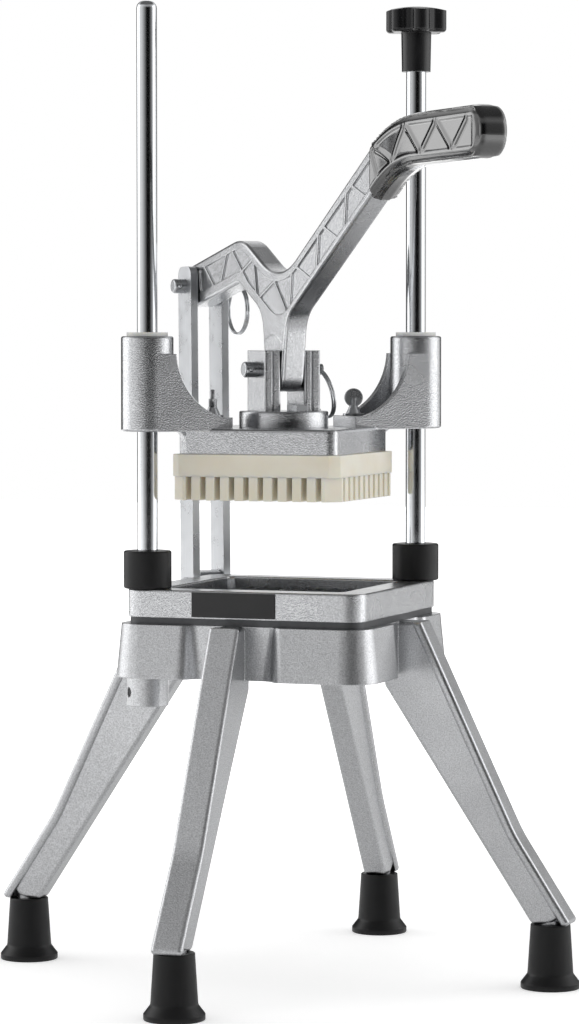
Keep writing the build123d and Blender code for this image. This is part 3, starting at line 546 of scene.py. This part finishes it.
# %% Middle line of the grip
def along_grip(across, up):
    """Distance along the bent middle line of the grip, and height above it."""
    valley, bend, tip = (np.array(p) for p in ((-8.3, 420.9), (-168.0, 518.4), (-279.0, 519.8)))
    radius = 100.0
    first = (bend - valley) / np.linalg.norm(bend - valley)
    second = (tip - bend) / np.linalg.norm(tip - bend)
    turn = math.acos(float(first @ second))
    reach = radius * math.tan(turn / 2)
    start, end = bend - first * reach, bend + second * reach
    rise_first, rise_second = np.array((first[1], -first[0])), np.array((second[1], -second[0]))
    centre = start - rise_first * radius
    points = np.stack((across, up), axis=1)
    spoke = points - centre
    before, after = (points - start) @ first, (points - end) @ second
    arc = radius * np.arctan2(spoke @ first, spoke @ rise_first)
    bow = np.linalg.norm(spoke, axis=1) - radius
    on_second = after > 0
    run = np.where(before < 0, before, np.where(on_second, radius * turn + after, arc))
    rise = np.where(on_second, (points - end) @ rise_second, bow)
    return run, np.where(before < 0, (points - start) @ rise_first, rise)


def ramp(value, width):
    """Smooth step from 0 to 1 while the value goes from 0 to the width."""
    part = np.clip(value / width, 0, 1)
    return part * part * (3 - 2 * part)


print("half way up a ramp", float(ramp(0.5, 1.0)))

# %% [markdown]
# ## Even skin for the grip
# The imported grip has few, long faces, which can't be shaped. A voxel remesh gives it an even skin of
# small faces, and a little smoothing takes the steps out.

# %% Even skin for the grip
face_size, same_place = 0.0008, 1e-5
sleeve = bpy.data.objects.new("sleeve_maker", nodes["grip"].data.copy())
bpy.context.scene.collection.objects.link(sleeve)
shell = bmesh.new()
shell.from_mesh(sleeve.data)
bmesh.ops.remove_doubles(shell, verts=shell.verts, dist=same_place)
shell.to_mesh(sleeve.data)
shell.free()
skin = sleeve.modifiers.new("skin", "REMESH")
skin.mode = "VOXEL"
skin.voxel_size = face_size
even = sleeve.modifiers.new("even", "SMOOTH")
even.factor = 0.5
even.iterations = 4
grip = plain_mesh(sleeve, "grip_sleeve")
points = np.empty(len(grip.data.vertices) * 3)
grip.data.vertices.foreach_get("co", points)
points = points.reshape(-1, 3) * 1000
side = (points[:, 0] + points[:, 1]) * math.sqrt(0.5)
run, rise = along_grip((points[:, 1] - points[:, 0]) * math.sqrt(0.5), points[:, 2])
print("grip skin", len(points), "points, run", round(float(run.min())), "to", round(float(run.max())), "mm")

# %% [markdown]
# ## Ridges in the grip
# Vinyl softens the ribs under it, so a ridge has no sharp foot. The sides sink everywhere inside the rim
# except on the ridges, and nothing is raised, so the sleeve gets no thicker.

# %% Ridges in the grip
ridge_half, ridge_step, ridge_first, ridge_count = 8.9, 19.7, 7.0, 6
ridge_foot, ridge_flank, ridge_end = 2.9, 2.8, 1.5
panel_depth, panel_start, panel_end = 0.8, 3.0, 132.0
panel_rim, panel_flank, panel_stop = 0.8, 2.4, 3.5
flat_side, flat_blend = 8.8, 0.8
ridges = np.zeros(len(points))
for step in range(ridge_count):
    begin = ridge_first + step * ridge_step
    slope = 2 * ridge_half / ridge_step * (-1 if step % 2 == 0 else 1)
    middle_rise = (run - begin - ridge_step / 2) * slope
    away = np.abs(rise - middle_rise) / math.hypot(1, slope)
    here = ramp(run - begin, ridge_end) * ramp(begin + ridge_step - run, ridge_end)
    ridges = np.maximum(ridges, here * ramp(ridge_foot - away, ridge_flank))
panel = ramp(ridge_half + panel_rim - np.abs(rise), panel_flank)
panel = panel * ramp(run - panel_start, panel_flank) * ramp(panel_end - run, panel_stop)
sunk = panel_depth * panel * (1 - ridges) * ramp(np.abs(side) - flat_side, flat_blend)
print("ridges", ridge_count, "sunk up to", round(float(sunk.max()), 2), "mm")

# %% [markdown]
# ## Round edges of the grip
# Dipping rounds the rim and the end. Points near them move towards the middle plane, by a share that
# grows with the square of the distance, and only on the outside: the bore for the lever stays as it is.

# %% Round edges of the grip
wall_side, wall_rise, wall_blend = 8.6, 13.9, 0.6
wall_end, wall_end_blend = 143.0, 0.8
edge_start, edge_width, edge_share = 8.8, 6.7, 0.48
end_start, end_width, end_share = 130.0, 17.0, 0.52
outside = np.maximum(ramp(np.abs(side) - wall_side, wall_blend), ramp(np.abs(rise) - wall_rise, wall_blend))
outside = np.maximum(outside, ramp(run - wall_end, wall_end_blend))
edge_round = edge_share * np.clip((np.abs(rise) - edge_start) / edge_width, 0, 1) ** 2
end_round = end_share * np.clip((run - end_start) / end_width, 0, 1) ** 2
crown = (1 - (1 - edge_round) * (1 - end_round)) * np.abs(side) * outside
move = -np.sign(side) * (sunk + crown) * math.sqrt(0.5) / 1000
points /= 1000
points[:, 0] += move
points[:, 1] += move
grip.data.vertices.foreach_set("co", points.ravel())
grip.data.polygons.foreach_set("use_smooth", np.ones(len(grip.data.polygons), dtype=bool))
grip.data.materials.clear()
grip.data.materials.append(finishes["black_vinyl"])
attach(grip, "lever")
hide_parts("grip")
print("grip", len(grip.data.polygons), "faces, moved up to", round(float(np.abs(move).max()) * 1000, 2), "mm")

# %% [markdown]
# ## A white room
# The background is plain white. The world is at full strength only where the camera or a mirror-like
# surface looks at it, and dimmer as a light, so the machine itself isn't flooded.

# %% A white room
light_level, seen_level = 0.65, 1.0
world = bpy.data.worlds.new("white_room")
bpy.context.scene.world = world
world.use_nodes = True
tree = world.node_tree
tree.nodes.clear()


def seen_directly(tree):
    """One where a ray comes from the camera, a reflection or a clear piece."""
    rays = add(tree, "ShaderNodeLightPath").outputs
    first = maths(tree, "MAXIMUM", rays["Is Camera Ray"], rays["Is Glossy Ray"])
    return maths(tree, "MAXIMUM", first, rays["Is Transmission Ray"])


level = spread(tree, seen_directly(tree), 0.0, 1.0, light_level, seen_level)
room = add(tree, "ShaderNodeBackground", {"Color": (1, 1, 1, 1), "Strength": level})
add(tree, "ShaderNodeOutputWorld", {"Surface": room.outputs[0]})
print("world", world.name)

# %% [markdown]
# ## Floor
# White paper runs under the machine. Near the feet it is lit like any surface and so takes their
# shadow. Further away it fades into the plain white of the background, which hides the horizon.

# %% Floor
floor_size, paper_radius, white_radius, paper_glow = 12, 0.25, 1.1, 0.35
bpy.ops.mesh.primitive_plane_add(size=floor_size, location=(0, 0, 0))
floor = bpy.context.object
floor.name = "floor"
material, tree, shader, place = new_finish("white_paper")
far = add(tree, "ShaderNodeVectorMath", {0: place}, operation="LENGTH").outputs["Value"]
fade = spread(tree, far, paper_radius, white_radius, paper_glow, 1.0)
looks = {
    "Base Color": linear("#f2f2f2"),
    "Roughness": 0.9,
    "Emission Color": (1, 1, 1, 1),
    "Emission Strength": maths(tree, "MULTIPLY", fade, seen_directly(tree)),
}
plug(shader, looks)
floor.data.materials.append(material)
print("floor", floor.dimensions[:2])

# %% [markdown]
# ## Lamps
# Two broad lamps stand at the sides and one hangs overhead, so flat fronts stay grey and edges shine.
# Mirrors don't see the one overhead: level tops mirror the dark cloth above it instead.


# %% Lamps
def lamp(name, size, power, place, target, mirrored=True):
    """Square soft lamp that faces a point, seen in mirrors or not."""
    data = bpy.data.lights.new(name, "AREA")
    data.size = size
    data.energy = power
    made = bpy.data.objects.new(name, data)
    made.location = place
    made.rotation_euler = (Vector(target) - Vector(place)).to_track_quat("-Z", "Y").to_euler()
    bpy.context.scene.collection.objects.link(made)
    made.visible_glossy = mirrored


middle, lamp_size = (0, 0, 0.33), 1.4
lamp("left_lamp", lamp_size, 6.5, (-1.7, -0.1, 0.75), middle)
lamp("right_lamp", lamp_size, 6.5, (1.6, 0.65, 0.75), middle)
lamp("top_lamp", lamp_size, 7, (0.0, 0.2, 2.1), middle, mirrored=False)

# %% [markdown]
# ## Dark cloth
# Polished metal needs something dark to mirror, or it vanishes in a white room. Photographers hang black
# cloth out of the picture. Here only reflections see the cloth, so it throws no shadow and never shows,
# and its thickness fades like a soft edge. What all the cloths share comes first.


# %% Cloth helpers
def black_cloth(name, verts, faces):
    """Cloth that only reflections see. Gives its tree, the socket for its thickness, and its coordinates."""
    mesh = bpy.data.meshes.new(name)
    mesh.from_pydata(verts, [], faces)
    made = bpy.data.objects.new(name, mesh)
    bpy.context.scene.collection.objects.link(made)
    made.visible_camera = made.visible_diffuse = made.visible_shadow = False
    material, tree, shader, place = new_finish(name)
    plug(shader, {"Base Color": (0, 0, 0, 1), "Roughness": 1.0})
    mesh.materials.append(material)
    return tree, shader.inputs["Alpha"], place


def world_angle(bearing):
    """World angle of a bearing, which is in degrees to the right of the camera."""
    return math.radians(camera_turn - 90.0 + bearing)


def disc(radius, height, count=64):
    """Points and face of a level disc."""
    turns = [2 * math.pi * i / count for i in range(count)]
    return [(radius * math.cos(t), radius * math.sin(t), height) for t in turns], [tuple(range(count))]


def from_middle(tree, place):
    """Level part of the coordinates, and their distance from the upright axis."""
    flat = vectors(tree, "MULTIPLY", place, (1.0, 1.0, 0.0))
    return flat, add(tree, "ShaderNodeVectorMath", {0: flat}, operation="LENGTH").outputs["Value"]


print("the camera's own bearing is at", round(math.degrees(world_angle(0.0))), "degrees")

# %% [markdown]
# ## Hanging cloths
# A wide cloth hangs in a bow behind the camera, blackest in its middle, and gives flat fronts their grey.
# Two narrow ones stand behind the machine and draw its outlines.


# %% Hanging cloths
def hanging_cloth(name, bearing, half_width, height, fade_from):
    """Cloth in a bow round the machine, blackest at its bearing and thinner at its sides and top."""
    distance, steps, core_power, full_height = 3.0, 24, 1.6, 0.5 * height
    verts = []
    for step in range(steps + 1):
        turn = world_angle(bearing + half_width * (2 * step / steps - 1))
        foot = (distance * math.cos(turn), distance * math.sin(turn))
        verts += [(*foot, 0.0), (*foot, height)]
    faces = [(2 * i, 2 * i + 2, 2 * i + 3, 2 * i + 1) for i in range(steps)]
    tree, thickness, place = black_cloth(name, verts, faces)
    facing = world_angle(bearing)
    flat = vectors(tree, "MULTIPLY", place, (1 / distance, 1 / distance, 0.0))
    ends = {0: flat, 1: (math.cos(facing), math.sin(facing), 0.0)}
    near = add(tree, "ShaderNodeVectorMath", ends, operation="DOT_PRODUCT").outputs["Value"]
    edge = math.cos(math.radians(half_width))
    black = spread(tree, near, edge, edge + (1 - edge) * fade_from)
    core = maths(tree, "POWER", black, core_power)
    up = add(tree, "ShaderNodeSeparateXYZ", {0: place}).outputs["Z"]
    low = spread(tree, up, height, full_height)
    tree.links.new(maths(tree, "MULTIPLY", core, low), thickness)


hanging_cloth("cloth_front", 15.0, 90.0, 3.4, 0.97)
hanging_cloth("cloth_left", -153.0, 25.0, 3.0, 0.45)
hanging_cloth("cloth_right", 155.0, 17.0, 3.0, 0.35)

# %% [markdown]
# ## Level cloths
# One round cloth hangs above, and one lies under the machine. Three strips spread over the floor from the
# machine, so that a rod shows dark stripes from any side.


# %% Level cloths
def level_cloth(name, height, radius, darkness):
    """Round cloth, level, thinner towards its edge."""
    full_radius = 0.55 * radius
    tree, thickness, place = black_cloth(name, *disc(radius, height))
    _, far = from_middle(tree, place)
    tree.links.new(spread(tree, far, radius, full_radius, 0.0, darkness), thickness)


def strip_cloth(name, height, hole, radius, darkness, bearing):
    """Three strips that spread from a hole round the machine, the first of them at a bearing."""
    strips, clear_wave, black_wave = 3, -0.2, 0.9
    hole_fade, rim_fade = 1.5 * hole, 0.8 * radius
    tree, thickness, place = black_cloth(name, *disc(radius, height))
    flat, far = from_middle(tree, place)
    axes = add(tree, "ShaderNodeSeparateXYZ", {0: flat}).outputs
    angle = maths(tree, "ARCTAN2", axes["Y"], axes["X"])
    turns = maths(tree, "MULTIPLY_ADD", angle, strips, -strips * world_angle(bearing))
    black = spread(tree, maths(tree, "COSINE", turns), clear_wave, black_wave)
    inner = spread(tree, far, hole, hole_fade)
    outer = spread(tree, far, radius, rim_fade, 0.0, darkness)
    ring = maths(tree, "MULTIPLY", inner, outer)
    tree.links.new(maths(tree, "MULTIPLY", black, ring), thickness)


level_cloth("cloth_above", 2.6, 3.2, 0.85)
level_cloth("cloth_below", 0.002, 1.3, 0.36)
strip_cloth("cloth_strips", 0.004, 0.55, 2.95, 0.55, 15.0)
